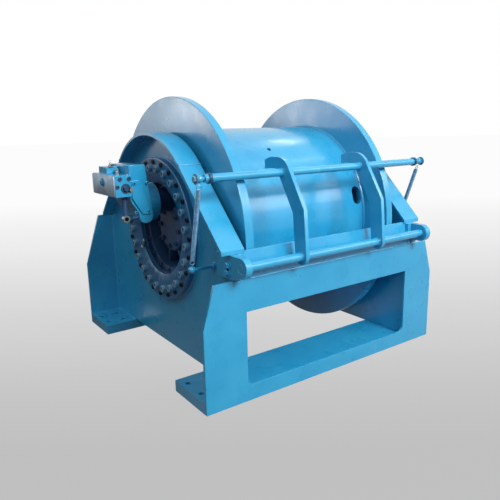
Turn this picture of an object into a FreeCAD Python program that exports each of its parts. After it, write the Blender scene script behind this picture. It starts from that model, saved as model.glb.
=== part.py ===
import FreeCAD, Part
import math
import os

V = FreeCAD.Vector
os.makedirs("parts", exist_ok=True)

# Hydraulic mooring winch. X runs along the drum axis, Y to the back, Z up, in millimetres.
# The origin is on the floor, midway between the four bolted foot ends.

# drum
flange_r = 670.0              # flange radius
flange_t = 44.0               # flange thickness
barrel_r = 507.0              # outside radius of the barrel
barrel_wall = 25.0            # barrel plate thickness
rope_hole_w = 62.0            # rope hole, along X
rope_hole_h = 98.0            # rope hole, round the barrel
rope_hole_gap = 10.0          # right flange to the edge of the rope hole
rope_hole_angle = 15.7        # rope hole above the drum's front, degrees
plug_hole_d = 22.0            # threaded lifting hole in the barrel
plug_hole_in = 358.0          # left flange to the lifting hole
plug_hole_angle = 51.7        # lifting hole above the drum's front, degrees

# base
base_length = 1500.0          # along X, over the end plates
front_clear = 40.0            # front plate's outer face to the flanges' front
axis_ahead = 20.0             # drum axis, ahead of the middle of the base
floor_clear = 29.0            # floor to the flanges
beam_height = 573.0           # top of the front plate
rear_rise = 117.0             # rear plate above the front plate's top
end_plate_t = 15.0            # front and rear plate thickness
corner_drop = 187.0           # height taken off the front plate's upper corners
corner_inset = 59.0           # width taken off the front plate's upper corners
window_margin = 221.0         # plate end to window
window_low = 76.0             # window sill above the floor
window_high = 424.0           # window head above the floor
window_corner_r = 30.0        # lower window corners
foot_depth = 273.0            # foot plate, behind the end plate
foot_t = 55.0                 # foot plate thickness
anchor_hole_d = 26.0          # foundation bolt holes
anchor_edge = 34.0            # foot end to the outer column of holes
anchor_pitch_x = 95.0         # between the two columns
anchor_first_y = 86.0         # end plate to the first row of holes
anchor_pitch_y = 122.0        # between the two rows

# side frames
band_width = 117.0            # rim band, along X
band_t = 14.0                 # rim band, sheet thickness
band_end_inset = 109.0        # foot end to the band's outer edge
band_r = 495.0                # outside radius of the rolled top
band_slope = 45.0             # slope of the straight legs, degrees
web_t = 26.0                  # side plate thickness
web_inset = 13.0              # side plate's inner face, inside the band's inner edge
lip_t = 10.0                  # plate between the side plates, over the front beam
lip_clear = 6.0               # lip plate to the flanges

# ears that carry the guard
ear_t = 32.0                  # ear plate on the outside of each side plate
ear_depth = 130.0             # ear plate behind the front plate's outer face
ear_r = 44.0                  # ear nose radius
ear_lift = 24.0               # ear's underside at the nose, above the front plate
pin_ahead = 56.0              # guard pivot, in front of the front plate's outer face
pin_fit = 0.5                 # lower tube in its ears, radial

# drive end
ring_inner_r = 242.0          # opening in the mounting ring and the side plate
ring_width = 130.0            # mounting ring, opening to rim
ring_t = 36.0                 # mounting ring thickness
ring_chamfer = 4.0            # mounting ring's outer edge
ring_cone = 52.0              # width of the cone turned round the ring's opening
ring_cone_depth = 14.0        # depth of that cone
case_gap = 8.0                # gear case inside the opening
case_clear = 8.0              # gear case to the drum flange bore
case_recess = 58.0            # gear case rim, behind the ring's outer face
case_wall = 20.0              # wall of the gear case, and its end in the drum
case_depth = 130.0            # gear case, side plate's inner face to its end in the drum
hub_r = 128.0                 # hub in the middle of the gear case
hub_recess = 76.0             # hub face, behind the ring's outer face
hub_chamfer = 8.0             # edge of the hub face
input_rise = 150.0            # motor axis above the drum axis
neck_r = 62.0                 # motor spigot
motor_flange_r = 96.0         # round motor flange
motor_flange_t = 46.0         # round motor flange thickness
motor_reach = 62.0            # ring's outer face to the motor body
motor_width = 220.0           # motor body, along Y
motor_length = 118.0          # motor body, along X from its outer end to its lowest inner corner
motor_lean = 35.0             # inner side of the body leans out at the top by this
motor_step = 40.0             # outer end is set back below the axis by this
motor_step_high = 25.0        # set back starts this far above the motor axis
motor_step_low = -40.0        # and is full this far below it
motor_below = 90.0            # underside of the body below the motor axis
motor_above = 196.0           # top of the body above the motor axis
motor_corner_r = 34.0         # lower corners of the body
port_plate_t = 10.0           # port plate raised on the body's front
port_plate_w = 44.0           # width of the port plate
valve_width = 80.0            # counterbalance block, along X
valve_depth = 296.0           # counterbalance block, along Y
valve_height = 103.0          # counterbalance block
valve_drop = 44.0             # top of the block below the top of the body
valve_ahead = 22.0            # block's front, ahead of the motor body
relief_width = 58.0           # relief block, along X
relief_depth = 104.0          # relief block, along Y
relief_height = 34.0          # relief block
relief_back = 138.0           # relief block's front, behind the valve block's front
relief_side = 14.0            # relief block's outer side, inside the valve block's
pipe_r = 11.0                 # drain pipe
pipe_in = 54.0                # drain pipe, inside the block's outer end
pipe_back = 16.0              # drain pipe, behind the body's front
pipe_turn = 30.0              # drain pipe's elbow above the underside of the body

# idle end
journal_r = 90.0              # drum journal
journal_clear = 0.5           # journal in its housing, radial
journal_shoulder = 30.0       # step up from the journal to the boss on the flange
boss_clear = 12.0             # boss to the side plate
housing_wall = 85.0           # bearing housing round the journal
housing_reach = 92.0          # bearing housing, outside the side plate
housing_rim = 55.0            # flange round the bearing housing
housing_flange_t = 26.0       # thickness of that flange
cover_inset = 25.0            # bearing cover, inside the housing's rim
cover_t = 20.0                # bearing cover thickness
cover_gap = 10.0              # journal's end to the cover
flange_gap_left = 39.0        # left side plate to left flange
flange_gap_right = 83.0       # right side plate to right flange

# guard
tube_low_r = 20.0             # lower cross tube
tube_up_r = 18.0              # upper cross tube
tube_overhang = 21.0          # upper tube's end, outside the rim band
guard_clear = 18.0            # upper tube to the flanges
guard_angle = 25.95           # upper tube above the drum's front, degrees
arm_t = 20.0                  # arm plate thickness
arm_width = 76.0              # arm plate width
arm_half_gap = 248.0          # from the middle of the guard to each arm
arm_offset = -12.0            # middle of the guard along X
arm_crank_up = 201.0          # bend in the arm, above the pivot
arm_crank_back = 17.0         # bend in the arm, behind the pivot
arm_lead = 15.0               # arm's centre line ahead of the upper tube
hook_rise = 67.0              # hook's top above the upper tube's axis
hook_reach = 127.0            # hook's tip behind the upper tube's axis
hook_tip = 40.0               # height of the hook's tip
eye_gap = 17.0                # tube end to the eye
eye_r = 17.0                  # eye balls
stem_r = 9.0                  # eye stems
nut_r = 17.0                  # nuts on the stems
nut_t = 12.0                  # nut thickness
tie_r = 11.0                  # sprung rods
tie_seat = 0.3                # sprung rod's end to its eye
tie_outside = 37.0            # sprung rod's lower eye, outside the rim band
tie_foot_back = 205.0         # lower eye behind the front plate's outer face
tie_foot_up = 24.0            # lower eye above the front plate's top


def box(x0, x1, y0, y1, z0, z1):
    return Part.makeBox(x1 - x0, y1 - y0, z1 - z0, V(x0, y0, z0))


def rod_x(r, x0, x1, y, z):
    return Part.makeCylinder(r, x1 - x0, V(x0, y, z), V(1, 0, 0))


def rod_z(r, z0, z1, x, y):
    return Part.makeCylinder(r, z1 - z0, V(x, y, z0), V(0, 0, 1))


def outline(steps, place):
    # a closed outline from two-point lines and three-point arcs
    edges = []
    for step in steps:
        pts = [place(a, b) for a, b in step]
        if len(pts) == 3:
            edges.append(Part.Arc(pts[0], pts[1], pts[2]).toShape())
        else:
            edges.append(Part.makeLine(pts[0], pts[1]))
    return Part.Face(Part.Wire(edges))


def sheet_x(steps, x0, x1):
    # an outline in Y and Z, made solid from x0 to x1
    return outline(steps, lambda a, b: V(x0, a, b)).extrude(V(x1 - x0, 0, 0))


def sheet_y(steps, y0, y1):
    # an outline in X and Z, made solid from y0 to y1
    return outline(steps, lambda a, b: V(a, y0, b)).extrude(V(0, y1 - y0, 0))


def loop(points):
    return [(points[i], points[(i + 1) % len(points)]) for i in range(len(points))]


def flip_x(shape):
    return shape.mirror(V(0, 0, 0), V(1, 0, 0))


def flip_y(shape):
    return shape.mirror(V(0, 0, 0), V(0, 1, 0))


def save(shape, name):
    if len(shape.Solids) == 1:
        shape = shape.Solids[0]
    shape.exportStep("parts/" + name + ".step")


# ---- positions that several pieces share ----
half_l = base_length / 2
half_d = flange_r + front_clear + axis_ahead
front_y = -half_d
inner_y = front_y + end_plate_t
cy = -axis_ahead
cz = flange_r + floor_clear
band_in = half_l - band_end_inset - band_width
band_out = half_l - band_end_inset
web_in = band_in + web_inset
web_out = web_in + web_t
ear_out = web_out + ear_t
pin_y = front_y - pin_ahead
pin_z = beam_height + ear_lift + ear_r
ear_top = pin_z + ear_r
rear_top = beam_height + rear_rise
slope = math.radians(band_slope)
up_reach = flange_r + guard_clear + tube_up_r
up_y = cy - up_reach * math.cos(math.radians(guard_angle))
up_z = cz + up_reach * math.sin(math.radians(guard_angle))


def rim_y(r, z):
    # distance from the drum axis, along Y, at which a leg of radius r is at height z
    return (r / math.cos(slope) + cz - z) / math.tan(slope)


# ---- front and rear end plates: a window, and upper corners taken off ----
window_half = half_l - window_margin


def end_plate(height):
    inset = corner_inset * (height - beam_height + corner_drop) / corner_drop
    corners = [
        (-half_l, 0),
        (half_l, 0),
        (half_l, beam_height - corner_drop),
        (half_l - inset, height),
        (-half_l + inset, height),
        (-half_l, beam_height - corner_drop),
    ]
    plate = sheet_y(loop(corners), front_y, inner_y)
    hole = box(-window_half, window_half, front_y - 1, inner_y + 1, window_low, window_high)
    sill = []
    for edge in hole.Edges:
        mid = edge.CenterOfMass
        if abs(mid.z - window_low) < 0.01 and abs(abs(mid.x) - window_half) < 0.01:
            sill.append(edge)
    return plate.cut(hole.makeFillet(window_corner_r, sill))


save(end_plate(beam_height), "front_plate")
save(flip_y(end_plate(rear_top)), "rear_plate")

# ---- foot plates, with four foundation holes at each end ----
foot = box(-half_l, half_l, inner_y, inner_y + foot_depth, 0, foot_t)
for side in (-1, 1):
    for i in range(2):
        for j in range(2):
            ax = side * (half_l - anchor_edge - i * anchor_pitch_x)
            ay = inner_y + anchor_first_y + j * anchor_pitch_y
            foot = foot.cut(rod_z(anchor_hole_d / 2, -1, foot_t + 1, ax, ay))
save(foot, "front_foot")
save(flip_y(foot), "rear_foot")

# ---- rim bands: rolled over the top, straight legs down to the ears and the rear plate ----
mid_r = band_r - band_t
front_end = cy - rim_y(mid_r, ear_top)
rear_end = cy + rim_y(mid_r, rear_top)


def rim_point(r, side):
    return (cy + side * r * math.sin(slope), cz + r * math.cos(slope))


front_cap = cz + (band_r / math.cos(slope)) + (front_end - cy) * math.tan(slope)
rear_cap = cz + (band_r / math.cos(slope)) - (rear_end - cy) * math.tan(slope)
band_steps = [
    ((front_end, front_cap), rim_point(band_r, -1)),
    (rim_point(band_r, -1), (cy, cz + band_r), rim_point(band_r, 1)),
    (rim_point(band_r, 1), (rear_end, rear_cap)),
    ((rear_end, rear_cap), (rear_end, rear_top)),
    ((rear_end, rear_top), rim_point(mid_r, 1)),
    (rim_point(mid_r, 1), (cy, cz + mid_r), rim_point(mid_r, -1)),
    (rim_point(mid_r, -1), (front_end, ear_top)),
    ((front_end, ear_top), (front_end, front_cap)),
]
right_band = sheet_x(band_steps, band_in, band_out)
save(right_band, "right_band")
save(flip_x(right_band), "left_band")

# ---- side plates inside the bands, standing on the foot plates ----
housing_r = journal_r + housing_wall
web_steps = [
    ((inner_y, foot_t), (inner_y, beam_height)),
    ((inner_y, beam_height), (front_y, beam_height)),
    ((front_y, beam_height), (front_y, ear_top)),
    ((front_y, ear_top), (front_end, ear_top)),
    ((front_end, ear_top), rim_point(mid_r, -1)),
    (rim_point(mid_r, -1), (cy, cz + mid_r), rim_point(mid_r, 1)),
    (rim_point(mid_r, 1), (rear_end, rear_top)),
    ((rear_end, rear_top), (-inner_y, rear_top)),
    ((-inner_y, rear_top), (-inner_y, foot_t)),
    ((-inner_y, foot_t), (inner_y, foot_t)),
]
web = sheet_x(web_steps, web_in, web_out)
save(web.cut(rod_x(housing_r, web_in - 1, web_out + 1, cy, cz)), "right_web")
save(flip_x(web.cut(rod_x(ring_inner_r, web_in - 1, web_out + 1, cy, cz))), "left_web")

# ---- lip plate between the side plates, leaning back clear of the flanges ----
lip_back = cy - math.sqrt(flange_r ** 2 - (ear_top - cz) ** 2) - lip_clear
lip_front = lip_back - lip_t
lip_top = ear_top + (lip_front - front_end) * math.tan(slope)
lip_corners = [
    (front_y, beam_height),
    (front_y + lip_t, beam_height),
    (lip_back, lip_top),
    (lip_front, lip_top),
]
save(sheet_x(loop(lip_corners), -web_in, web_in), "front_lip")

# ---- ears: flat plates on the outside of the side plates, round-nosed over the pivot ----
ear_low = beam_height + 4
ear_back = front_y + ear_depth
ear_steps = [
    ((ear_back, ear_low), (front_y - 4, ear_low)),
    ((front_y - 4, ear_low), (front_y - 20, pin_z - ear_r)),
    ((front_y - 20, pin_z - ear_r), (pin_y, pin_z - ear_r)),
    ((pin_y, pin_z - ear_r), (pin_y - ear_r, pin_z), (pin_y, ear_top)),
    ((pin_y, ear_top), (ear_back, ear_top)),
    ((ear_back, ear_top), (ear_back, ear_low)),
]
ear = sheet_x(ear_steps, web_out, ear_out)
ear = ear.cut(rod_x(tube_low_r + pin_fit, web_out - 1, ear_out + 1, pin_y, pin_z))
save(ear, "right_ear")
save(flip_x(ear), "left_ear")

# ---- drive end: mounting ring, and the gear case seen through it ----
ring_x = -web_out - ring_t
ring_r = ring_inner_r + ring_width
cone_r = ring_inner_r + ring_cone
ring_steps = [
    ((ring_inner_r, -web_out), (ring_inner_r, ring_x + ring_cone_depth)),
    ((ring_inner_r, ring_x + ring_cone_depth), (cone_r, ring_x)),
    ((cone_r, ring_x), (ring_r - ring_chamfer, ring_x)),
    ((ring_r - ring_chamfer, ring_x), (ring_r, ring_x + ring_chamfer)),
    ((ring_r, ring_x + ring_chamfer), (ring_r, -web_out)),
    ((ring_r, -web_out), (ring_inner_r, -web_out)),
]


def turned(steps):
    # an outline of (radius, x) steps, turned round the drum axis
    face = outline(steps, lambda a, b: V(b, cy, cz + a))
    return face.revolve(V(0, cy, cz), V(1, 0, 0), 360)


save(turned(ring_steps), "drive_ring")
case_x = ring_x + case_recess
case_r = ring_inner_r - case_gap
case_end = -web_in + case_depth
case_floor = case_end - case_wall
hub_x = ring_x + hub_recess
case_corners = [
    (0, case_end),
    (case_r, case_end),
    (case_r, -web_in),
    (ring_inner_r, -web_in),
    (ring_inner_r, case_x),
    (case_r - case_wall, case_x),
    (case_r - case_wall, case_floor),
    (hub_r, case_floor),
    (hub_r, hub_x + hub_chamfer),
    (hub_r - hub_chamfer, hub_x),
    (0, hub_x),
]
save(turned(loop(case_corners)), "gear_case")

# ---- hydraulic motor above the drum axis: spigot, round flange, leaning body ----
motor_z = cz + input_rise
body_in = ring_x - motor_reach
body_out = body_in - motor_length
body_low = motor_z - motor_below
body_high = motor_z + motor_above
body_front = cy - motor_width / 2
body_back = cy + motor_width / 2
flange_face = body_in + motor_flange_t
step_x = body_out + motor_step
body_corners = [
    (step_x, body_low),
    (body_in, body_low),
    (body_in - motor_lean, body_high),
    (body_out, body_high),
    (body_out, motor_z + motor_step_high),
    (step_x, motor_z + motor_step_low),
]
motor = sheet_y(loop(body_corners), body_front, body_back)
neck = rod_x(neck_r, flange_face, case_floor, cy, motor_z)
neck = neck.cut(turned(loop(case_corners)))
motor_flange = rod_x(motor_flange_r, body_in - motor_lean, flange_face, cy, motor_z).cut(motor)
save(motor_flange.fuse(neck).removeSplitter(), "motor_flange")
rounded = []
for edge in motor.Edges:
    mid = edge.CenterOfMass
    if abs(mid.z - body_low) < 0.01 and abs(mid.y - cy) < 0.01:
        rounded.append(edge)
save(motor.makeFillet(motor_corner_r, rounded), "motor_body")
port_top = body_high - valve_drop - 30
port_low = body_low + motor_corner_r + 12
port_x = body_out + 6
port_corners = [
    (port_x, port_top),
    (port_x + port_plate_w, port_top),
    (body_in - 18, port_low),
    (body_in - 18 - port_plate_w, port_low),
    (port_x, port_top - 84),
]
save(sheet_y(loop(port_corners), body_front - port_plate_t, body_front), "port_plate")

# ---- counterbalance block on the motor's outer end, relief block on top of it ----
valve_x = body_out - valve_width
valve_front = body_front - valve_ahead
valve_high = body_high - valve_drop
valve_low = valve_high - valve_height
valve = box(valve_x, body_out, valve_front, valve_front + valve_depth, valve_low, valve_high)
save(valve, "valve_block")
relief_x = valve_x + relief_side
relief_y = valve_front + relief_back
relief_end = relief_x + relief_width
relief = box(relief_x, relief_end, relief_y, relief_y + relief_depth, valve_high, valve_high + relief_height)
save(relief, "relief_block")

# ---- drain pipe: down from the block, then square into the motor body ----
pipe_x = valve_x + pipe_in
pipe_y = body_front + pipe_back
pipe_z = body_low + pipe_turn
pipe = rod_z(pipe_r, pipe_z, valve_low, pipe_x, pipe_y)
pipe = pipe.fuse(Part.makeSphere(pipe_r, V(pipe_x, pipe_y, pipe_z)))
pipe = pipe.fuse(rod_x(pipe_r, pipe_x, step_x, pipe_y, pipe_z)).removeSplitter()
save(pipe, "drain_pipe")

# ---- drum: hollow barrel with its rope hole, two flanges, a journal at the idle end ----
barrel_x0 = -web_in + flange_gap_left + flange_t
barrel_x1 = web_in - flange_gap_right - flange_t
barrel = rod_x(barrel_r, barrel_x0, barrel_x1, cy, cz)
barrel = barrel.cut(rod_x(barrel_r - barrel_wall, barrel_x0 - 1, barrel_x1 + 1, cy, cz))


def from_axis(shape, angle):
    # turns a tool that points along -Y from the drum axis up to its angle
    shape.rotate(V(0, cy, cz), V(1, 0, 0), -angle)
    return shape


hole_x = barrel_x1 - rope_hole_gap - rope_hole_w / 2
hole_half = (rope_hole_h - rope_hole_w) / 2
bore = barrel_wall + 20
start_y = cy - barrel_r - 10
slot_x = hole_x - rope_hole_w / 2
slot_mid = Part.makeBox(rope_hole_w, bore, 2 * hole_half, V(slot_x, start_y, cz - hole_half))
slot_low = Part.makeCylinder(rope_hole_w / 2, bore, V(hole_x, start_y, cz - hole_half), V(0, 1, 0))
slot_high = Part.makeCylinder(rope_hole_w / 2, bore, V(hole_x, start_y, cz + hole_half), V(0, 1, 0))
slot = slot_mid.fuse(slot_low).fuse(slot_high).removeSplitter()
plug = Part.makeCylinder(plug_hole_d / 2, bore, V(barrel_x0 + plug_hole_in, start_y, cz), V(0, 1, 0))
barrel = barrel.cut(from_axis(slot, rope_hole_angle)).cut(from_axis(plug, plug_hole_angle))
left_flange = rod_x(flange_r, barrel_x0 - flange_t, barrel_x0, cy, cz)
left_flange = left_flange.cut(rod_x(case_r + case_clear, barrel_x0 - flange_t - 1, barrel_x0 + 1, cy, cz))
right_flange = rod_x(flange_r, barrel_x1, barrel_x1 + flange_t, cy, cz)
house_x = web_out + housing_reach
boss_x = web_in - boss_clear
journal = rod_x(journal_r + journal_shoulder, barrel_x1 + flange_t, boss_x, cy, cz)
journal = journal.fuse(rod_x(journal_r, boss_x, house_x - cover_gap, cy, cz)).removeSplitter()
save(barrel, "drum_barrel")
save(left_flange, "left_flange")
save(right_flange, "right_flange")
save(journal, "drum_journal")

# ---- idle end: bearing housing through the side plate, its flange, its cover ----
housing = rod_x(housing_r, web_in, house_x, cy, cz)
housing = housing.cut(rod_x(journal_r + journal_clear, web_in - 1, house_x + 1, cy, cz))
rim = rod_x(housing_r + housing_rim, web_out, web_out + housing_flange_t, cy, cz)
rim = rim.cut(rod_x(housing_r, web_out - 1, web_out + housing_flange_t + 1, cy, cz))
save(housing, "bearing_housing")
save(rim, "bearing_flange")
save(rod_x(housing_r - cover_inset, house_x, house_x + cover_t, cy, cz), "bearing_cover")

# ---- guard: two cross tubes joined by two cranked arms with hooked tops ----
up_half = band_out + tube_overhang
tube_low = rod_x(tube_low_r, -ear_out, ear_out, pin_y, pin_z)
tube_up = rod_x(tube_up_r, -up_half, up_half, up_y, up_z)
half_w = arm_width / 2
bend_y = pin_y + arm_crank_back
bend_z = pin_z + arm_crank_up
low_dir = math.atan2(arm_crank_up, arm_crank_back)
top_dir = math.atan2(up_z - bend_z, up_y - arm_lead - bend_y)
bend_dir = (low_dir + top_dir) / 2
mitre = half_w / math.cos((low_dir - top_dir) / 2)


def beside(y, z, direction, offset):
    # a point at an offset behind a line that runs in the given direction
    return (y + offset * math.sin(direction), z - offset * math.cos(direction))


eye_front = beside(pin_y, pin_z, low_dir, -half_w)
eye_back = beside(pin_y, pin_z, low_dir, half_w)
eye_low = (pin_y - half_w * math.cos(low_dir), pin_z - half_w * math.sin(low_dir))
bend_front = beside(bend_y, bend_z, bend_dir, -mitre)
bend_back = beside(bend_y, bend_z, bend_dir, mitre)
crown_front = beside(up_y - arm_lead, up_z, top_dir, -half_w)
crown_back = beside(up_y - arm_lead - 30 * math.cos(top_dir), up_z - 30 * math.sin(top_dir), top_dir, half_w)
hook_z = up_z + hook_rise
tip_y = up_y + hook_reach
tip_high = (tip_y, hook_z - 16)
tip_low = (tip_y, hook_z - 16 - hook_tip)
hook_top = (up_y + 48, hook_z)
hook_under = (up_y + 46, hook_z - 10 - hook_tip)
arm_steps = [
    (eye_front, eye_low, eye_back),
    (eye_back, bend_back),
    (bend_back, crown_back),
    (crown_back, (up_y + 28, up_z - 4), hook_under),
    (hook_under, tip_low),
    (tip_low, tip_high),
    (tip_high, (up_y + 92, hook_z - 3), hook_top),
    (hook_top, (up_y - 24, hook_z - 20), crown_front),
    (crown_front, bend_front),
    (bend_front, eye_front),
]
for side, name in ((-1, "left_arm"), (1, "right_arm")):
    arm_x = arm_offset + side * arm_half_gap
    arm = sheet_x(arm_steps, arm_x - arm_t / 2, arm_x + arm_t / 2)
    save(arm.cut(tube_low).cut(tube_up), name)
save(tube_low, "guard_low_tube")
save(tube_up, "guard_up_tube")

# ---- eyes on the upper tube's ends and on the side plates, and the sprung rods ----
eye_x = up_half + eye_gap + eye_r
eye = rod_x(stem_r, up_half, eye_x, up_y, up_z).fuse(Part.makeSphere(eye_r, V(eye_x, up_y, up_z)))
eye = eye.fuse(rod_x(nut_r, up_half, up_half + nut_t, up_y, up_z)).removeSplitter()
save(Part.makeCompound([eye, flip_x(eye)]), "guard_eyes")
foot_x = band_out + tie_outside
foot_y = front_y + tie_foot_back
foot_z = beam_height + tie_foot_up
lower = V(foot_x, foot_y, foot_z)
anchor = rod_x(stem_r, web_out, foot_x, foot_y, foot_z).fuse(Part.makeSphere(eye_r, lower))
anchor = anchor.fuse(rod_x(nut_r, web_out, web_out + nut_t, foot_y, foot_z)).removeSplitter()
save(Part.makeCompound([anchor, flip_x(anchor)]), "tie_anchors")
upper = V(eye_x, up_y, up_z)
along = (lower - upper).normalize()
tie_length = (lower - upper).Length - 2 * (eye_r + tie_seat)
tie = Part.makeCylinder(tie_r, tie_length, upper + along * (eye_r + tie_seat), along)
save(tie, "right_tie")
save(flip_x(tie), "left_tie")
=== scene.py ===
import math

import bmesh
import bpy
from mathutils import Matrix, Vector


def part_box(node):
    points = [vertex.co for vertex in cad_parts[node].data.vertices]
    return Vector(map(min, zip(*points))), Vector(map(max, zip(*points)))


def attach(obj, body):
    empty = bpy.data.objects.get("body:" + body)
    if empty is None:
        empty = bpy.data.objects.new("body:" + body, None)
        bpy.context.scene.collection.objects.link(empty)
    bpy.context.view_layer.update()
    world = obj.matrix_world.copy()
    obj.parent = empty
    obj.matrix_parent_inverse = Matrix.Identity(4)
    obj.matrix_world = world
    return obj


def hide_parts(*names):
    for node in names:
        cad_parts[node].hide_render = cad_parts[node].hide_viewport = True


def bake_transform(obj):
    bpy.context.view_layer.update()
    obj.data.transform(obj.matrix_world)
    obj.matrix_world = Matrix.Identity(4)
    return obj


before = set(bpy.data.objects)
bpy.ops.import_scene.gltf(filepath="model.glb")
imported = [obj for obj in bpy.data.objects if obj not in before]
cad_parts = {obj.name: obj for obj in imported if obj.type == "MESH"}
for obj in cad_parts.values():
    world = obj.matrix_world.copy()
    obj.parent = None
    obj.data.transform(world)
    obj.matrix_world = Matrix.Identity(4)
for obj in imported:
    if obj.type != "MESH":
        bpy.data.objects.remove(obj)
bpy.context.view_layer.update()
scene = bpy.context.scene

# ---- camera ----
# A normal lens from the front left corner, a little above the upper cross tube of the guard.
# It looks slightly down and leans one degree, so that the long front beam climbs to the right.
camera_place = Vector((-1.757, -2.514, 1.202))
camera_turn = math.radians(35.05)
camera_dip = math.radians(12.80)
camera_lean = math.radians(-1.22)
ahead = Vector((
    math.sin(camera_turn) * math.cos(camera_dip),
    math.cos(camera_turn) * math.cos(camera_dip),
    -math.sin(camera_dip),
))
level = Vector((math.cos(camera_turn), -math.sin(camera_turn), 0))
upright = level.cross(ahead)
right = math.cos(camera_lean) * level + math.sin(camera_lean) * upright
up = math.cos(camera_lean) * upright - math.sin(camera_lean) * level
lens = bpy.data.cameras.new("camera")
lens.sensor_width = 36
lens.lens = 37.8
lens.shift_y = -0.004
camera = bpy.data.objects.new("camera", lens)
camera.matrix_world = Matrix((
    (right.x, up.x, -ahead.x, camera_place.x),
    (right.y, up.y, -ahead.y, camera_place.y),
    (right.z, up.z, -ahead.z, camera_place.z),
    (0, 0, 0, 1),
))
scene.collection.objects.link(camera)
scene.camera = camera
scene.view_settings.view_transform = "Standard"


# ---- floor, backdrop and lamps ----
# A plain pale studio floor that fades to white behind the winch, under a large soft lamp high in front.
# A fill stands on the left and a weaker lamp on the right. Two narrow lamps high on the right draw
# streaks on the barrel, and three behind on the left are only mirrored, mostly in the flanges.
def srgb(code):
    # an sRGB hex colour as the linear values that a shader takes
    parts = [int(code[i:i + 2], 16) / 255 for i in (1, 3, 5)]
    return [c / 12.92 if c <= 0.04045 else ((c + 0.055) / 1.055) ** 2.4 for c in parts] + [1]


def add(tree, kind, settings=None, **links):
    # one shader node, with its settings, and with its inputs set or linked by name
    made = tree.nodes.new(kind)
    for key, value in (settings or {}).items():
        setattr(made, key, value)
    for key, value in links.items():
        socket = made.inputs[int(key[1:])] if key[0] == "_" else made.inputs[key.replace("_", " ")]
        if isinstance(value, bpy.types.NodeSocket):
            tree.links.new(value, socket)
        else:
            socket.default_value = value
    return made


def ramp(tree, factor, stops):
    # a colour ramp from (position, colour) stops
    made = add(tree, "ShaderNodeValToRGB", _0=factor)
    band = made.color_ramp.elements
    while len(band) < len(stops):
        band.new(1)
    for stop, (place, colour) in zip(band, stops):
        stop.position = place
        stop.color = colour
    return made.outputs[0]


floor_mesh = bmesh.new()
bmesh.ops.create_circle(floor_mesh, cap_ends=True, segments=96, radius=60)
floor_data = bpy.data.meshes.new("floor")
floor_mesh.to_mesh(floor_data)
floor_mesh.free()
floor = bpy.data.objects.new("floor", floor_data)
scene.collection.objects.link(floor)

studio_floor = bpy.data.materials.new("matt_vinyl_floor")
studio_floor.use_nodes = True
tree = studio_floor.node_tree
tree.nodes.clear()
where = add(tree, "ShaderNodeTexCoord")
# the fade starts below the camera and runs away from it
fade_start = 3.07  # metres from there to the middle of the winch
fade_length = 9
away = add(tree, "ShaderNodeMapping", Vector=where.outputs["Object"])
away.inputs["Location"].default_value = (fade_start / fade_length, 0, 0)
away.inputs["Rotation"].default_value = (0, 0, camera_turn - math.radians(90))
away.inputs["Scale"].default_value = (1 / fade_length,) * 3
fade = add(tree, "ShaderNodeTexGradient", Vector=away.outputs[0])
pale = ramp(tree, fade.outputs[0], [
    (0.20, srgb("#CBCBCB")), (0.31, srgb("#DADADA")), (0.46, srgb("#E6E6E6")), (0.70, srgb("#F0F0F0")),
    (1.0, srgb("#FCFCFC"))])
lit = add(tree, "ShaderNodeBsdfDiffuse", Color=srgb("#55555A"))
glow = add(tree, "ShaderNodeEmission", Color=pale, Strength=1.0)
far = ramp(tree, fade.outputs[0], [(0.25, srgb("#EEEEEE")), (0.60, srgb("#FFFFFF"))])
path = add(tree, "ShaderNodeLightPath")
# painted reflection: as mirrored in the gloss paint, the floor is painted bright on the right in front of
# the winch, as if lit there, and dark at the left
painted_light_length = 4
across = add(tree, "ShaderNodeMapping", Vector=where.outputs["Object"])
across.inputs["Location"].default_value = (0.45, 0, 0)
across.inputs["Rotation"].default_value = (0, 0, math.radians(45))
across.inputs["Scale"].default_value = (1 / painted_light_length,) * 3
across_floor = add(tree, "ShaderNodeTexGradient", Vector=across.outputs[0])
painted_floor_light = ramp(tree, across_floor.outputs[0], [(0.15, srgb("#303030")), (0.9, srgb("#F2F2F2"))])
mirror = add(tree, "ShaderNodeMath", {"operation": "MULTIPLY"}, _0=path.outputs["Is Glossy Ray"], _1=painted_floor_light)
seen = add(tree, "ShaderNodeMath", {"operation": "MAXIMUM"}, _0=path.outputs["Is Camera Ray"],
           _1=path.outputs["Is Transmission Ray"])
seen = add(tree, "ShaderNodeMath", {"operation": "MAXIMUM"}, _0=seen.outputs[0], _1=mirror.outputs[0])
share = add(tree, "ShaderNodeMath", {"operation": "MULTIPLY"}, _0=far, _1=seen.outputs[0])
floor_mix = add(tree, "ShaderNodeMixShader", _0=share.outputs[0], _1=lit.outputs[0], _2=glow.outputs[0])
add(tree, "ShaderNodeOutputMaterial", Surface=floor_mix.outputs[0])
floor_data.materials.append(studio_floor)

world = bpy.data.worlds.new("studio")
world.use_nodes = True
scene.world = world
tree = world.node_tree
tree.nodes.clear()
where = add(tree, "ShaderNodeTexCoord")
split = add(tree, "ShaderNodeSeparateXYZ", Vector=where.outputs["Generated"])
sky = ramp(tree, split.outputs["Z"], [
    (0.0, srgb("#56606C")), (0.2, srgb("#A8B0BA")), (1.0, srgb("#F4F6F8"))])
surround = add(tree, "ShaderNodeBackground", Color=sky, Strength=0.5)
backdrop = add(tree, "ShaderNodeBackground", Color=srgb("#FFFFFF"), Strength=1.0)
path = add(tree, "ShaderNodeLightPath")
mirror = add(tree, "ShaderNodeMath", {"operation": "MULTIPLY"}, _0=path.outputs["Is Glossy Ray"], _1=0.75)
seen = add(tree, "ShaderNodeMath", {"operation": "MAXIMUM"}, _0=path.outputs["Is Camera Ray"],
           _1=path.outputs["Is Transmission Ray"])
seen = add(tree, "ShaderNodeMath", {"operation": "MAXIMUM"}, _0=seen.outputs[0], _1=mirror.outputs[0])
world_mix = add(tree, "ShaderNodeMixShader", _0=seen.outputs[0], _1=surround.outputs[0],
                _2=backdrop.outputs[0])
add(tree, "ShaderNodeOutputWorld", Surface=world_mix.outputs[0])

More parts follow.
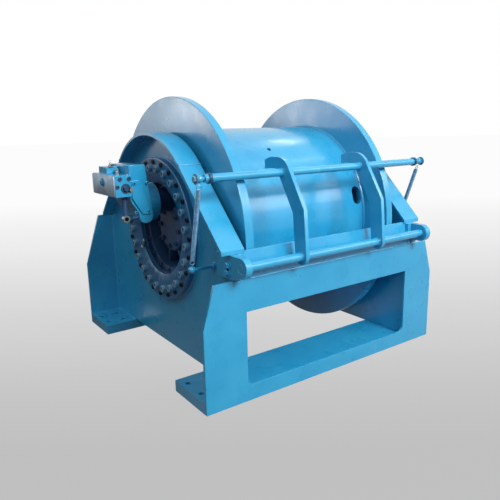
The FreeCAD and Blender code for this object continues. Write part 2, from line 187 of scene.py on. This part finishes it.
lamps = [
    # name, place, point it faces, width, height, watts, degrees it is turned about that line
    ("key", (0.5, -5.2, 3.9), (0, 0, 0.6), 2.8, 2.0, 345, 0),
    ("fill", (-3.8, -1.6, 4.6), (-0.4, -0.1, 0.7), 4.0, 4.0, 55, 0),
    ("right", (3.1, -3.8, 2.6), (0, -0.4, 0.9), 2.8, 1.4, 34, 0),
    ("streak", (2.75, 1.15, 4.15), (0.1, -0.2, 1.1), 0.6, 0.11, 3, 0),
    ("strip", (3.17, -1.15, 4.82), (0, -0.4, 1.04), 1.9, 0.08, 3.2, -65.6),
    ("back", (-3.5, 5.0, 1.75), (0, 0, 1.3), 3.2, 1.8, 9, 0),
    ("back_glow", (-2.85, 3.97, 1.47), (0, 0, 1.3), 0.55, 0.5, 3, 0),
    ("back_far", (-5.9, 6.9, 1.75), (0.5, 0, 1.3), 1.7, 1.2, 16, 0),
]
for lamp_name, place, target, width, height, watts, roll in lamps:
    lamp_data = bpy.data.lights.new(lamp_name, "AREA")
    lamp_data.shape = "ELLIPSE"
    lamp_data.size = width
    lamp_data.size_y = height
    lamp_data.energy = watts
    lamp = bpy.data.objects.new(lamp_name, lamp_data)
    lamp.location = place
    lamp.rotation_euler = (Vector(target) - Vector(place)).to_track_quat("-Z", "Y").to_euler()
    lamp.rotation_euler.rotate_axis("Z", math.radians(roll))
    lamp.visible_diffuse = not lamp_name.startswith("back")
    scene.collection.objects.link(lamp)


# ---- welded base: end plates, foot plates, side plates, rim bands and lip ----
# Flame cut mild steel plate, welded, ground and sprayed with two coats of glossy blue enamel.
# Sprayed enamel has a fine orange peel, drifts a little in tone, and is duller where it went on dry.
def enamel(name, deep, light, dull, grain=0.0, coat=0.8, painted_shade=None):
    # grain, in metres, is the height of ripples under the paint, as over a weld
    # the last argument gives the shift and scale that measure a distance, and how far from there the paint
    # is darkened as painted shade, which then clears over 14 mm
    made = bpy.data.materials.new(name)
    made.use_nodes = True
    tree = made.node_tree
    tree.nodes.clear()
    where = add(tree, "ShaderNodeTexCoord").outputs["Object"]
    # clouds of tone about 250 mm across, passes of the spray gun about 90 mm wide
    clouds = add(tree, "ShaderNodeTexNoise", Vector=where, Scale=4.0, Detail=3.0, Roughness=0.5)
    passes = add(tree, "ShaderNodeTexNoise", Vector=where, Scale=11.0, Detail=2.0, Roughness=0.4)
    blend = add(tree, "ShaderNodeMath", {"operation": "MULTIPLY_ADD"},
                _0=passes.outputs["Fac"], _1=0.4, _2=clouds.outputs["Fac"])
    tone = ramp(tree, blend.outputs[0], [(0.45, srgb(deep)), (0.95, srgb(light))])
    # painted shade: a dark blue out to that distance, fading into the paint's tone beyond it
    if painted_shade:
        shift, scale, reach_dark = painted_shade
        centred = add(tree, "ShaderNodeMapping", Vector=where, Location=shift, Scale=scale)
        reach = add(tree, "ShaderNodeVectorMath", {"operation": "LENGTH"}, _0=centred.outputs[0])
        unshaded = add(tree, "ShaderNodeMapRange", Value=reach.outputs["Value"],
                    _1=reach_dark, _2=reach_dark + 0.014)
        shaded_tone = add(tree, "ShaderNodeMix", {"data_type": "RGBA"}, Factor=unshaded.outputs[0])
        shaded_tone.inputs[6].default_value = srgb("#17395C")
        tree.links.new(tone, shaded_tone.inputs[7])
        tone = shaded_tone.outputs[2]
    gloss = add(tree, "ShaderNodeMapRange", _0=passes.outputs["Fac"], _1=0.3, _2=0.7,
                _3=dull * 0.8, _4=dull * 1.25)
    # orange peel at 5 mm, and plate waviness at 140 mm or weld ripples at 6 mm
    peel = add(tree, "ShaderNodeTexNoise", Vector=where, Scale=200.0, Detail=1.0, Roughness=0.5)
    waves = add(tree, "ShaderNodeTexNoise", Vector=where, Scale=160.0 if grain else 7.0,
                Detail=1.0, Roughness=0.4)
    rough = add(tree, "ShaderNodeBump", Strength=0.02, Distance=0.001, Height=peel.outputs["Fac"])
    wavy = add(tree, "ShaderNodeBump", Strength=0.6 if grain else 0.10, Distance=grain or 0.01,
               Height=waves.outputs["Fac"], Normal=rough.outputs[0])
    surface = add(tree, "ShaderNodeBsdfPrincipled", Base_Color=tone, Roughness=gloss.outputs[0],
                  Normal=wavy.outputs[0], IOR=1.5)
    surface.inputs["Specular IOR Level"].default_value = 0.45
    surface.inputs["Coat Weight"].default_value = coat
    surface.inputs["Coat Roughness"].default_value = 0.17
    add(tree, "ShaderNodeOutputMaterial", Surface=surface.outputs[0])
    return made


deep_blue = "#2199C9"
light_blue = "#37A8D4"
blue_enamel = enamel("glossy_blue_alkyd_enamel", deep_blue, light_blue, 0.30)
weld_enamel = enamel("blue_enamel_over_weld", "#1F96C6", "#33A4D1", 0.34, 0.0012)


def dress(name, material, edge):
    # gives a CAD node its finish, and rounds its edges by that many metres, as a grinder does
    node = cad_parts[name]
    node.data.materials.clear()
    node.data.materials.append(material)
    node.modifiers.new("merge", "WELD").merge_threshold = 0.00002
    flat = node.modifiers.new("flat", "DECIMATE")
    flat.decimate_type = "DISSOLVE"
    flat.angle_limit = math.radians(0.4)
    rounding = node.modifiers.new("rounding", "BEVEL")
    rounding.limit_method = "ANGLE"
    rounding.angle_limit = math.radians(30)
    rounding.width = edge
    rounding.segments = 2
    node.modifiers.new("shading", "WEIGHTED_NORMAL").weight = 80


def piece(name, mesh, material, body):
    # a finished bmesh as a piece of the winch: smooth within 35 degrees, sharp beyond
    bmesh.ops.remove_doubles(mesh, verts=mesh.verts, dist=0.00002)
    for face in mesh.faces:
        face.smooth = True
    for edge in mesh.edges:
        edge.smooth = len(edge.link_faces) == 2 and edge.calc_face_angle(0) < math.radians(35)
    data = bpy.data.meshes.new(name)
    mesh.to_mesh(data)
    mesh.free()
    data.materials.append(material)
    made = bpy.data.objects.new(name, data)
    scene.collection.objects.link(made)
    if body:
        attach(made, body)
    return made


def beads(name, paths, radius, body):
    # weld beads of that radius, one along each path of points
    line = bpy.data.curves.new(name, "CURVE")
    line.dimensions = "3D"
    line.bevel_depth = radius
    line.bevel_resolution = 2
    line.use_fill_caps = True
    for points in paths:
        closed = (Vector(points[0]) - Vector(points[-1])).length < 1e-6
        run = points[:-1] if closed else points
        spline = line.splines.new("POLY")
        spline.points.add(len(run) - 1)
        spline.use_cyclic_u = closed
        for knot, place in zip(spline.points, run):
            knot.co = (*place, 1)
    holder = bpy.data.objects.new(name + "_line", line)
    scene.collection.objects.link(holder)
    drawn = bpy.data.meshes.new_from_object(holder.evaluated_get(bpy.context.evaluated_depsgraph_get()))
    mesh = bmesh.new()
    mesh.from_mesh(drawn)
    bpy.data.objects.remove(holder)
    bpy.data.meshes.remove(drawn)
    return piece(name, mesh, weld_enamel, body)


for name in ("front_plate", "rear_plate", "front_foot", "rear_foot", "left_web", "right_web"):
    dress(name, blue_enamel, 0.0022)
for name in ("left_band", "right_band", "front_lip"):
    dress(name, blue_enamel, 0.0018)

plate_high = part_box("front_plate")[1]
foot_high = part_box("front_foot")[1]
rear_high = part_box("rear_plate")[1]
band_low, band_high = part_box("left_band")
web_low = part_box("left_web")[0]
drum_low, drum_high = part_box("left_flange")
axis_y = (drum_low.y + drum_high.y) / 2
axis_z = (drum_low.z + drum_high.z) / 2
slope = math.radians(45)
band_thick = 0.014
rim_out = band_high.z - axis_z
rim_in = rim_out - band_thick


def rim_line(radius, x, front_end, rear_end):
    # front leg, rolled top and rear leg of a rim band, at one radius
    arc = [-slope + i * slope / 12 for i in range(25)]
    top = [(x, axis_y + radius * math.sin(a), axis_z + radius * math.cos(a)) for a in arc]
    reach = radius / math.cos(slope)
    return [(x, front_end, axis_z + reach + front_end - axis_y)] + top + \
        [(x, rear_end, axis_z + reach - rear_end + axis_y)]


weld_stop = 0.02  # a weld ends this far short of the end of its plate
bead_sunk = 0.0025  # the middle of a bead lies this deep in the band
web_face = -web_low.x
seams = []
for side in (-1, 1):
    seams.append(rim_line(rim_in, side * web_face, band_low.y + weld_stop, band_high.y - weld_stop))
    for end, foot in ((plate_high.y, foot_high.y), (-plate_high.y, -foot_high.y)):
        top = plate_high.z if end < 0 else rear_high.z
        seams.append([(side * web_face, end, foot_high.z), (side * web_face, end, top - weld_stop)])
        seams.append([(side * web_face, end, foot_high.z), (side * web_face, foot, foot_high.z)])
    # the butt welds where the rolled top of the band meets its straight legs
    for turn in (-slope, slope):
        y = axis_y + rim_out * math.sin(turn)
        z = axis_z + rim_out * math.cos(turn) - bead_sunk
        seams.append([(-side * band_low.x, y, z), (-side * band_high.x, y, z)])
beads("side_frame_welds", seams, 0.006, "frame")
weld_end = plate_high.x - 0.004
beads("base_welds", [
    [(-weld_end, plate_high.y, foot_high.z), (weld_end, plate_high.y, foot_high.z)],
    [(-weld_end, -plate_high.y, foot_high.z), (weld_end, -plate_high.y, foot_high.z)],
], 0.006, "frame")
lip_low, lip_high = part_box("front_lip")
lip_stop = 0.03
beads("lip_weld", [[(lip_low.x + lip_stop, lip_low.y + 0.001, lip_low.z + 0.001),
                    (lip_high.x - lip_stop, lip_low.y + 0.001, lip_low.z + 0.001)]], 0.004, "frame")


# ---- ears: flat plates bolted to the side plates ----
# Thick plate with a round nose for the guard's pivot, held by two hexagon screws with washers.
def join(parts):
    # one bmesh from several, each a (bmesh, list of places) pair
    whole = bmesh.new()
    for part, places in parts:
        once = bpy.data.meshes.new("once")
        part.to_mesh(once)
        part.free()
        for place in places:
            before = set(whole.verts)
            whole.from_mesh(once)
            fresh = [v for v in whole.verts if v not in before]
            bmesh.ops.transform(whole, matrix=place, verts=fresh)
        bpy.data.meshes.remove(once)
    return whole


def turned(profile, steps=24):
    # a profile of (radius, height) points turned round Z
    made = bmesh.new()
    rim = [made.verts.new((r, 0, h)) for r, h in profile]
    edges = [made.edges.new(pair) for pair in zip(rim, rim[1:])]
    bmesh.ops.spin(made, geom=rim + edges, cent=(0, 0, 0), axis=(0, 0, 1), angle=2 * math.pi,
                   steps=steps, use_merge=True)
    bmesh.ops.remove_doubles(made, verts=made.verts, dist=0.00001)
    bmesh.ops.recalc_face_normals(made, faces=made.faces)
    return made


def hexagon_head(flats, height, washer):
    # hexagon head or nut, by its width across flats, its height and its washer's thickness
    # its seat is at height 0, and a washer of 0 leaves the washer out
    made = bmesh.new()
    bmesh.ops.create_cone(made, cap_ends=True, segments=6, radius1=flats / math.sqrt(3),
                          radius2=flats / math.sqrt(3), depth=height)
    bmesh.ops.translate(made, verts=made.verts, vec=(0, 0, height / 2 + washer))
    top = [e for e in made.edges if all(v.co.z > washer + height * 0.9 for v in e.verts)]
    chamfer = height * 0.14
    bmesh.ops.bevel(made, geom=top, offset=chamfer, segments=1, affect="EDGES", profile=0.5, material=-1)
    if washer:
        plate = turned([(0, 0), (flats * 0.95, 0), (flats * 0.95, washer), (0, washer)])
        made = join([(made, [Matrix()]), (plate, [Matrix()])])
    return made


def aim(place, way):
    # a matrix that puts a part made along Z at a place, pointing that way
    return Matrix.Translation(Vector(place)) @ Vector(way).to_track_quat("Z", "Y").to_matrix().to_4x4()


for name in ("left_ear", "right_ear"):
    dress(name, blue_enamel, 0.002)
# M16 hexagon screws, 24 mm across flats, painted over, two behind each pivot
ear_face = -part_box("left_ear")[0].x
ear_screws = []
for side in (-1, 1):
    for y, z in ((-0.692, 0.637), (-0.686, 0.605)):
        ear_screws.append(aim((side * ear_face, y, z), (side, 0, 0)))
piece("ear_screws", join([(hexagon_head(0.024, 0.010, 0.003), ear_screws)]),
      blue_enamel, "frame")

# ---- drive end: mounting ring, gear case and its screws ----
# The turned ring is welded to the side plate. The cast gear case is seated in their bore, held by
# socket screws. The ring's paint is a darker blue, as painted shade.
ring_shade_enamel = enamel("blue_enamel_darkened_as_painted_shade_on_ring", "#125F8E", "#2179A8", 0.32)
# paint darker still, as painted shade, for the deep case, its ribs and screws, and the drain pipe
deep_shade_enamel = enamel("blue_enamel_darkened_as_painted_shade", "#1D3A5F", "#2B5580", 0.55, coat=0.1)
dress("drive_ring", ring_shade_enamel, 0.002)
# the side plate's paint is darkened in its bore, up to 3 mm outside it, as painted shade
bore_shade_reach = 0.245
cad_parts["left_web"].data.materials[0] = enamel(
    "blue_enamel_with_painted_shade_in_bore", deep_blue, light_blue, 0.30,
    painted_shade=((0, -axis_y, -axis_z), (0, 1, 1), bore_shade_reach))
dress("gear_case", deep_shade_enamel, 0.002)
ring_low, ring_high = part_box("drive_ring")
case_low, case_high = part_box("gear_case")
ring_face = ring_low.x
ring_radius = (ring_high.z - ring_low.z) / 2


def on_circle(count, radius, x, way, start=0.0, high=axis_z):
    # places for screws on a circle round an axis along X, at that height
    places = []
    for i in range(count):
        turn = start + 2 * math.pi * i / count
        y = axis_y + radius * math.cos(turn)
        places.append(aim((x, y, high + radius * math.sin(turn)), (way, 0, 0)))
    return places


def socket_screw(radius, height, socket):
    # head of a socket screw, by the radius and height of its head and the radius of its socket
    # it has a chamfered rim and a hexagon recess, and its seat is at height 0
    made = bmesh.new()
    ring = bmesh.ops.create_circle(made, cap_ends=True, segments=24, radius=radius)["verts"]
    rim = [e for e in made.edges if all(v in ring for v in e.verts)]
    chamfer = radius * 0.1
    for rise, size in ((height - chamfer, 1.0), (chamfer, 0.9)):
        grown = bmesh.ops.extrude_edge_only(made, edges=rim)["geom"]
        points = [g for g in grown if isinstance(g, bmesh.types.BMVert)]
        bmesh.ops.translate(made, verts=points, vec=(0, 0, rise))
        bmesh.ops.scale(made, verts=points, vec=(size, size, 1))
        rim = [g for g in grown if isinstance(g, bmesh.types.BMEdge) and all(v in points for v in g.verts)]
    hexagon = bmesh.ops.create_circle(made, segments=6, radius=socket)["verts"]
    bmesh.ops.translate(made, verts=hexagon, vec=(0, 0, height))
    flats = [e for e in made.edges if all(v in hexagon for v in e.verts)]
    bmesh.ops.bridge_loops(made, edges=rim + flats)
    grown = bmesh.ops.extrude_edge_only(made, edges=flats)["geom"]
    points = [g for g in grown if isinstance(g, bmesh.types.BMVert)]
    bmesh.ops.translate(made, verts=points, vec=(0, 0, -height * 0.55))
    flats = [g for g in grown if isinstance(g, bmesh.types.BMEdge) and all(v in points for v in g.verts)]
    bmesh.ops.edgeloop_fill(made, edges=flats)
    bmesh.ops.recalc_face_normals(made, faces=made.faces)
    return made


def metal(name, colour, worn, dull, scale):
    # bare or plated steel: base colour, a duller tone in patches, roughness, and patch size in metres
    made = bpy.data.materials.new(name)
    made.use_nodes = True
    tree = made.node_tree
    tree.nodes.clear()
    where = add(tree, "ShaderNodeTexCoord").outputs["Object"]
    patches = add(tree, "ShaderNodeTexNoise", Vector=where, Scale=1 / scale, Detail=4.0, Roughness=0.6)
    tone = ramp(tree, patches.outputs["Fac"], [(0.35, srgb(worn)), (0.65, srgb(colour))])
    gloss = add(tree, "ShaderNodeMapRange", _0=patches.outputs["Fac"], _1=0.3, _2=0.7,
                _3=dull * 1.3, _4=dull * 0.8)
    # fine marks from machining or plating, 1 mm apart
    marks = add(tree, "ShaderNodeTexNoise", Vector=where, Scale=1000.0, Detail=1.0)
    bump = add(tree, "ShaderNodeBump", Strength=0.12, Distance=0.0005, Height=marks.outputs["Fac"])
    surface = add(tree, "ShaderNodeBsdfPrincipled", Base_Color=tone, Roughness=gloss.outputs[0],
                  Normal=bump.outputs[0], Metallic=1.0)
    add(tree, "ShaderNodeOutputMaterial", Surface=surface.outputs[0])
    return made


zinc_steel = metal("zinc_plated_steel", "#C3C9C6", "#8F9894", 0.34, 0.012)
black_steel = metal("black_oxide_steel", "#3A3D42", "#23262B", 0.42, 0.01)

# 24 M24 socket screws, heads 37 mm across, in a lighter blue than the ring, as painted highlight on their
# rims
highlight_screw_enamel = enamel("light_blue_enamel_as_painted_highlight", "#5A93B4", "#86B2C8", 0.33)
screw_circle = 0.318
piece("ring_screws", join([
    (socket_screw(0.0185, 0.016, 0.0105), on_circle(24, screw_circle, ring_face, -1, math.radians(7.5))),
]), highlight_screw_enamel, "frame")
# 24 smaller black M16 socket screws between them, nearer the rim, where the heads cast shadow: the black
# stands in for it, as painted shadow
shadow_screw_circle = 0.348
piece("ring_screws_as_painted_shadow", join([
    (socket_screw(0.012, 0.008, 0.007), on_circle(24, shadow_screw_circle, ring_face, -1)),
]), black_steel, "frame")
cup_radius = 0.214
hub_radius = 0.128
floor_x = case_high.x - 0.020


def rib():
    # a radial rib of the case, 14 mm thick: deep at the hub, lower at the cup's wall
    # its foot and its outer end are let 4 mm into the floor and the wall, its inner end 7 mm into the hub
    made = bmesh.new()
    let_in = 0.004
    foot_x = floor_x + let_in
    inner = hub_radius - 0.007
    outer = cup_radius + let_in
    crest_x = -0.512
    crest_run = 0.029
    crest_drop = 0.012
    corners = [(inner, foot_x), (outer, foot_x), (outer, crest_x + crest_drop),
               (inner + crest_run, crest_x), (inner, crest_x)]
    thick = 0.014
    web = made.faces.new([made.verts.new((x, -thick / 2, r)) for r, x in corners])
    grown = bmesh.ops.extrude_face_region(made, geom=[web])["geom"]
    far_side = [g for g in grown if isinstance(g, bmesh.types.BMVert)]
    bmesh.ops.translate(made, verts=far_side, vec=(0, thick, 0))
    bmesh.ops.recalc_face_normals(made, faces=made.faces)
    bmesh.ops.bevel(made, geom=list(made.edges), offset=0.0025, segments=2, affect="EDGES",
                    profile=0.5, material=-1)
    return made


rib_places = [Matrix.Translation((0, axis_y, axis_z)) @ Matrix.Rotation(math.radians(20 + 45 * i), 4, "X")
              for i in range(8)]
piece("case_ribs", join([(rib(), rib_places)]), deep_shade_enamel, "frame")
# socket screws on the hub and round the mouth of the case
hub_face = case_low.x + 0.018
hub_circle = 0.100
piece("case_hub_screws", join([
    (socket_screw(0.013, 0.014, 0.008), on_circle(8, hub_circle, hub_face, -1, math.radians(5))),
]), deep_shade_enamel, "frame")
mouth_circle = 0.228
piece("case_rim_screws", join([
    (socket_screw(0.009, 0.010, 0.005), on_circle(16, mouth_circle, case_low.x, -1)),
]), deep_shade_enamel, "frame")


def ring_path(radius, x, y, z, steps=96):
    # a closed circle round an axis along X
    turn = 2 * math.pi / steps
    return [(x, y + radius * math.cos(i * turn), z + radius * math.sin(i * turn)) for i in range(steps)] + \
        [(x, y + radius, z)]


beads("ring_weld", [ring_path(ring_radius, ring_high.x, axis_y, axis_z)], 0.006, "frame")
# a breather pipe with a hexagon foot, screwed into the ring behind the motor
breather = turned([(0, 0), (0.0065, 0), (0.0065, 0.076), (0.009, 0.078), (0.009, 0.094),
                   (0.006, 0.098), (0, 0.098)])
breather_place = aim((ring_face + 0.009, 0.200, 0.566), (-0.22, -0.80, 0.56))
piece("breather", join([(breather, [breather_place]), (hexagon_head(0.019, 0.010, 0.0), [breather_place])]),
      zinc_steel, "frame")

# ---- hydraulic motor, valves and drain pipe ----
# Cast motor body and machined valve block, painted with the winch. The block's end is a bare steel
# cover. Screws, plugs and the drain union are zinc plated or oiled black.
for name in ("motor_flange", "motor_body", "port_plate", "valve_block", "relief_block"):
    dress(name, blue_enamel, 0.002)
# the drain pipe takes the darkest paint, as painted shade under the valve block
dress("drain_pipe", deep_shade_enamel, 0.002)
# the neck of the motor flange is painted darker over the first 172 mm from the floor of the case, as
# painted shade
neck_shade_reach = 0.172
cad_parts["motor_flange"].data.materials[0] = enamel(
    "blue_enamel_with_painted_shade_on_neck", deep_blue, light_blue, 0.30,
    painted_shade=((-floor_x, 0, 0), (1, 0, 0), neck_shade_reach))
motor_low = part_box("motor_body")[0]
flange_low, flange_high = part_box("motor_flange")
block_low, block_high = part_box("valve_block")
relief_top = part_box("relief_block")[1].z
port_low, port_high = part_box("port_plate")
pipe_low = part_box("drain_pipe")[0]
motor_z = (flange_low.z + flange_high.z) / 2


def plate(low, high, edge):
    # a ground plate between two corners, its edges broken by that much
    made = bmesh.new()
    bmesh.ops.create_cube(made, size=1)
    size = Vector(high) - Vector(low)
    bmesh.ops.scale(made, verts=made.verts, vec=size)
    bmesh.ops.translate(made, verts=made.verts, vec=Vector(low) + size / 2)
    bmesh.ops.bevel(made, geom=list(made.edges), offset=edge, segments=2, affect="EDGES",
                    profile=0.5, material=-1)
    return made


bare_steel = metal("bare_ground_steel", "#A2B4C4", "#94A7B8", 0.5, 0.06)
cover_face = block_low.x - 0.005
cover_inset = 0.003
piece("valve_cover", plate(
    (cover_face, block_low.y + cover_inset, block_low.z + cover_inset),
    (block_low.x + 0.001, block_high.y - cover_inset, block_high.z - cover_inset), 0.001,
), bare_steel, "frame")
# hexagon plug in the middle of the cover
piece("cover_plug", join([
    (hexagon_head(0.022, 0.009, 0.002), [aim((cover_face, -0.004, 0.962), (-1, 0, 0))]),
]), blue_enamel, "frame")
# three socket screws, a hexagon plug and a small plated gauge plug on the front of the block
front = block_low.y
# a deep blue for screws, nuts and collars that sit in shade, as painted shade
shaded_enamel = enamel("deep_blue_enamel_as_painted_shade", "#083A58", "#0D4A6C", 0.4, coat=0.3)
piece("valve_screws", join([
    (socket_screw(0.009, 0.006, 0.0055), [aim((x, front, z), (0, -1, 0)) for x, z in (
        (-0.834, 0.984), (-0.849, 0.948), (-0.790, 0.984))]),
    (hexagon_head(0.025, 0.011, 0.002), [aim((-0.808, front, 0.938), (0, -1, 0))]),
]), shaded_enamel, "frame")
piece("valve_gauge_plug", join([
    (hexagon_head(0.014, 0.010, 0.002), [aim((-0.786, front, 0.930), (0, -1, 0))]),
]), zinc_steel, "frame")
# adjusting stud with lock nut on the relief block, and a capped bleed screw beside it
stud = turned([(0, 0), (0.005, 0), (0.005, 0.028), (0.0038, 0.030), (0, 0.030)], 12)
stud_place = aim((-0.822, -0.010, relief_top), (0, 0, 1))
piece("relief_stud", join([(stud, [stud_place]), (hexagon_head(0.017, 0.009, 0.002), [stud_place])]),
      zinc_steel, "frame")
bleed = turned([(0, 0), (0.011, 0), (0.011, 0.010), (0.008, 0.014), (0.008, 0.022),
                (0.005, 0.025), (0, 0.025)])
piece("bleed_screw", join([(bleed, [aim((-0.800, -0.040, block_high.z), (0, 0, 1))])]),
      zinc_steel, "frame")
# union ring where the drain pipe turns into the motor
union = turned([(0.0105, -0.010), (0.0175, -0.010), (0.0175, 0.010), (0.0105, 0.010), (0.0105, -0.010)])
pipe_radius = 0.011
pipe_x = pipe_low.x + pipe_radius
pipe_y = pipe_low.y + pipe_radius
pipe_z = pipe_low.z + pipe_radius
union_place = aim((pipe_x, pipe_low.y + 0.004, pipe_z), (0, -1, 0))
piece("drain_union", join([(union, [union_place])]), zinc_steel, "frame")
piece("drain_plug", join([(socket_screw(0.0108, 0.008, 0.006), [union_place])]),
      black_steel, "frame")
piece("drain_nuts", join([(hexagon_head(0.027, 0.016, 0.0), [
    aim((pipe_x, pipe_y, block_low.z), (0, 0, -1)),
    aim((motor_low.x + 0.006, pipe_y, pipe_z), (-1, 0, 0)),
])]), shaded_enamel, "frame")
# socket screws that hold the port plate, and the motor to its flange
port_screws = [aim((x, port_low.y, z), (0, -1, 0)) for x in (port_low.x + 0.013, port_high.x - 0.013)
               for z in (port_low.z + 0.014, port_high.z - 0.014)]
piece("port_screws", join([(socket_screw(0.0075, 0.005, 0.0045), port_screws)]),
      blue_enamel, "frame")
motor_circle = 0.080
piece("motor_screws", join([
    (socket_screw(0.009, 0.010, 0.0055), on_circle(8, motor_circle, flange_low.x, -1, high=motor_z)),
]), black_steel, "frame")

# ---- bearing end ----
# Welded bearing housing with a turned flange and cover, each held by hexagon screws, and a grease nipple.
for name in ("bearing_housing", "bearing_flange", "bearing_cover"):
    dress(name, blue_enamel, 0.002)
bearing_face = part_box("bearing_flange")[1].x
bearing_circle = 0.203
piece("bearing_screws", join([
    (hexagon_head(0.030, 0.013, 0.003), on_circle(12, bearing_circle, bearing_face, 1)),
]), blue_enamel, "frame")
lid_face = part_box("bearing_cover")[1].x
lid_circle = 0.128
piece("cover_screws", join([
    (hexagon_head(0.019, 0.008, 0.002), on_circle(8, lid_circle, lid_face, 1)),
]), blue_enamel, "frame")
nipple = turned([(0, 0), (0.0045, 0), (0.0045, 0.009), (0.003, 0.011), (0.0042, 0.014),
                 (0.002, 0.018), (0, 0.018)], 12)
nipple_place = aim((lid_face, axis_y, axis_z), (1, 0, 0))
piece("grease_nipple", join([(nipple, [nipple_place]), (hexagon_head(0.013, 0.006, 0.0), [nipple_place])]),
      zinc_steel, "frame")
housing_low, housing_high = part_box("bearing_housing")
housing_radius = (housing_high.z - housing_low.z) / 2
beads("bearing_weld", [ring_path(housing_radius, web_face, axis_y, axis_z)], 0.007, "frame")

# ---- drum ----
# Rolled and welded barrel between two flame cut flanges, turned after welding and painted.
# The journal stub is ground steel.
for name in ("drum_barrel", "left_flange", "right_flange"):
    dress(name, blue_enamel, 0.003)
dress("drum_journal", bare_steel, 0.001)
barrel_low, barrel_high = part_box("drum_barrel")
right_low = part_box("right_flange")[0]
barrel_radius = (barrel_high.z - barrel_low.z) / 2
# one bead in each corner between barrel and flange, its middle 1 mm clear of both
beads("drum_welds", [
    ring_path(barrel_radius + 0.001, drum_high.x + 0.001, axis_y, axis_z, 160),
    ring_path(barrel_radius + 0.001, right_low.x - 0.001, axis_y, axis_z, 160),
], 0.008, "drum")

# ---- rope guard: two tubes, two cranked arms, and its springs ----
# Flame cut arms welded round steel tubes. Steel eyes at the ends of the upper tube take the springs.
for name in ("left_arm", "right_arm", "guard_low_tube", "guard_up_tube"):
    dress(name, blue_enamel, 0.0018)
dress("guard_eyes", blue_enamel, 0.0008)
dress("tie_anchors", blue_enamel, 0.0008)
tube_low, tube_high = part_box("guard_up_tube")
pivot_low, pivot_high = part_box("guard_low_tube")
eyes_low, eyes_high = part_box("guard_eyes")
tube_y = (tube_low.y + tube_high.y) / 2
tube_z = (tube_low.z + tube_high.z) / 2
pivot_y = (pivot_low.y + pivot_high.y) / 2
pivot_z = (pivot_low.z + pivot_high.z) / 2
pivot_radius = (pivot_high.z - pivot_low.z) / 2
tube_radius = 0.018
joints = []
for name in ("left_arm", "right_arm"):
    arm_low, arm_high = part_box(name)
    for x in (arm_low.x, arm_high.x):
        joints.append(ring_path(tube_radius, x, tube_y, tube_z, 32))
        joints.append(ring_path(pivot_radius, x, pivot_y, pivot_z, 32))
beads("guard_welds", joints, 0.004, "guard")
# a nut outside each eye, lighter as painted highlight, and a clamped collar 20 mm from each end of the
# tube, darker as painted shade
piece("eye_nuts", join([(hexagon_head(0.024, 0.010, 0.002), [
    aim((eyes_high.x, tube_y, tube_z), (1, 0, 0)),
    aim((eyes_low.x, tube_y, tube_z), (-1, 0, 0)),
])]), highlight_screw_enamel, "guard")
collar = turned([(0.0185, 0), (0.023, 0.001), (0.023, 0.015), (0.0185, 0.016), (0.0185, 0)])
piece("tube_collars", join([(collar, [
    aim((tube_high.x - 0.020, tube_y, tube_z), (1, 0, 0)),
    aim((tube_low.x + 0.020, tube_y, tube_z), (-1, 0, 0)),
])]), shaded_enamel, "guard")
# tight wound extension springs of 4.2 mm wire, 22 mm across, dull with old grease and blue overspray
greased_steel = metal("greased_spring_steel", "#9CD0F3", "#7AA6C2", 0.5, 0.02)
spring_radius = 0.011
wire = 0.0021
hook = 0.022  # length that the loop takes at each end
pitch = 0.0044
facets = 14  # sides of one turn of the coil
loop_radius = 0.0105
for name in ("left_tie", "right_tie"):
    # the spring runs from the anchor, low at the back, out and up to the eye in front
    tie_low, tie_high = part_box(name)
    inset = Vector((spring_radius,) * 3)
    low, high = tie_low + inset, tie_high - inset
    if name == "right_tie":
        ends = [Vector((low.x, high.y, low.z)), Vector((high.x, low.y, high.z))]
    else:
        ends = [Vector((high.x, high.y, low.z)), Vector((low.x, low.y, high.z))]
    span = (ends[1] - ends[0]).length
    coils = int((span - 2 * hook) / pitch)
    mesh = bmesh.new()
    round_wire = bmesh.ops.create_circle(mesh, segments=6, radius=wire)["verts"]
    bmesh.ops.rotate(mesh, verts=round_wire, cent=(0, 0, 0), matrix=Matrix.Rotation(math.pi / 2, 3, "X"))
    bmesh.ops.translate(mesh, verts=round_wire, vec=(spring_radius - wire, 0, hook))
    rise = (span - 2 * hook) / coils / facets
    bmesh.ops.spin(mesh, geom=round_wire + list(mesh.edges), cent=(0, 0, 0), axis=(0, 0, 1),
                   dvec=(0, 0, rise), angle=2 * math.pi * coils, steps=facets * coils)
    bmesh.ops.holes_fill(mesh, edges=mesh.edges, sides=6)
    # a full loop of the same wire at each end, round the eye or the anchor pin
    for middle in (hook * 0.5, span - hook * 0.5):
        loop = bmesh.ops.create_circle(mesh, segments=6, radius=wire)["verts"]
        rim = [e for e in mesh.edges if all(v in loop for v in e.verts)]
        bmesh.ops.translate(mesh, verts=loop, vec=(loop_radius, 0, middle))
        bmesh.ops.spin(mesh, geom=loop + rim, cent=(0, 0, middle), axis=(0, 1, 0), angle=2 * math.pi,
                       steps=20, use_merge=True)
    bmesh.ops.recalc_face_normals(mesh, faces=mesh.faces)
    bmesh.ops.transform(mesh, matrix=aim(ends[0], ends[1] - ends[0]), verts=mesh.verts)
    spring = piece(name.replace("tie", "spring"), mesh, greased_steel, None)
    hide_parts(name)
    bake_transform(spring)
